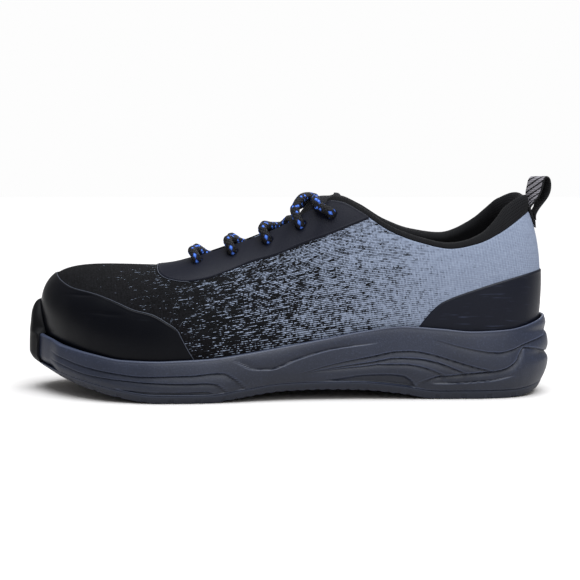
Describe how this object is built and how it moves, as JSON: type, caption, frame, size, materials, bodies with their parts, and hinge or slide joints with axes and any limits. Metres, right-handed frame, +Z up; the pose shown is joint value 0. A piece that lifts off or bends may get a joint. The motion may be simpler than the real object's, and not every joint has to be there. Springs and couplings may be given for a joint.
{
  "type": "safety sneaker",
  "caption": "Low-cut lace-up work shoe for a left foot, with a knitted upper, toe and heel films, a padded collar, a heel loop and a moulded cup sole.",
  "frame": {"origin": "on the floor, under the middle of the flat spot below the heel", "axes": "+X towards the heel and -X towards the toe, -Y the outer (lateral) side of the left foot, +Z up"},
  "size_m": [0.3034, 0.1102, 0.1241],
  "materials": {
    "rubber": "matte moulded rubber",
    "moulded_foam": "satin moulded foam",
    "knit": "fine two-colour knit",
    "film": "satin moulded film",
    "lining_mesh": "padded mesh",
    "lace_cord": "braided round cord",
    "webbing": "woven tape"
  },
  "bodies": {
    "root": {"outsole": "rubber", "midsole": "moulded_foam", "insole": "lining_mesh", "upper": "knit", "toe_cap": "film", "heel_counter": "film", "eyestay": "film", "collar_lining": "lining_mesh", "tongue": "knit", "lace_crossing_1": "lace_cord", "lace_crossing_2": "lace_cord", "lace_crossing_3": "lace_cord", "lace_crossing_4": "lace_cord", "pull_loop": "webbing"}
  },
  "joints": []
}
